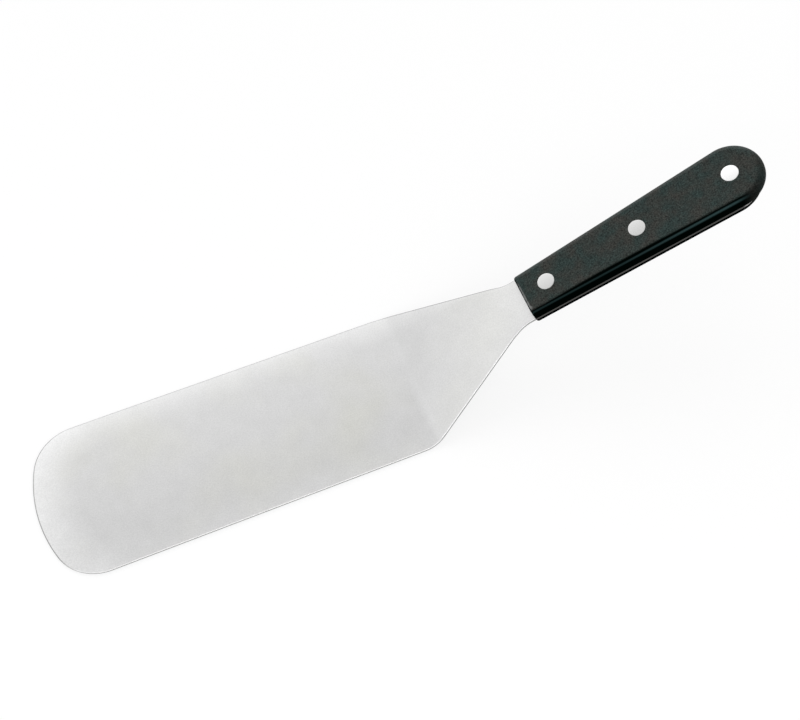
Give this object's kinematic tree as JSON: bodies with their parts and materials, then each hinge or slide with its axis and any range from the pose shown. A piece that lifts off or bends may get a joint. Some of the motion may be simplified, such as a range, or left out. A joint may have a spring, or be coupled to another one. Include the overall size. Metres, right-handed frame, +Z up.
{
  "type": "lasagna spatula",
  "caption": "Cranked kitchen turner: a long, wide, flat steel blade rises at the neck to a black riveted handle, for lifting portions of baked pasta.",
  "frame": {"origin": "on the underside of the flat blade, on its centre line, halfway from the tip to the shoulder bend", "axes": "+X from the blade's tip towards the handle, +Z up out of the blade's top face, +Y to the left when looking from the tip towards the handle"},
  "size_m": [0.3398, 0.075, 0.075],
  "materials": {
    "blade_steel": "fine satin",
    "handle_acetal": "matte moulded faces, smooth rounded sides",
    "rivet_steel": "ground flush, satin"
  },
  "bodies": {
    "root": {"blade_and_tang": "blade_steel", "upper_scale": "handle_acetal", "lower_scale": "handle_acetal", "front_rivet_tube": "rivet_steel", "middle_rivet_tube": "rivet_steel", "rear_rivet_tube": "rivet_steel", "front_rivet_pin": "rivet_steel", "middle_rivet_pin": "rivet_steel", "rear_rivet_pin": "rivet_steel"}
  },
  "joints": []
}
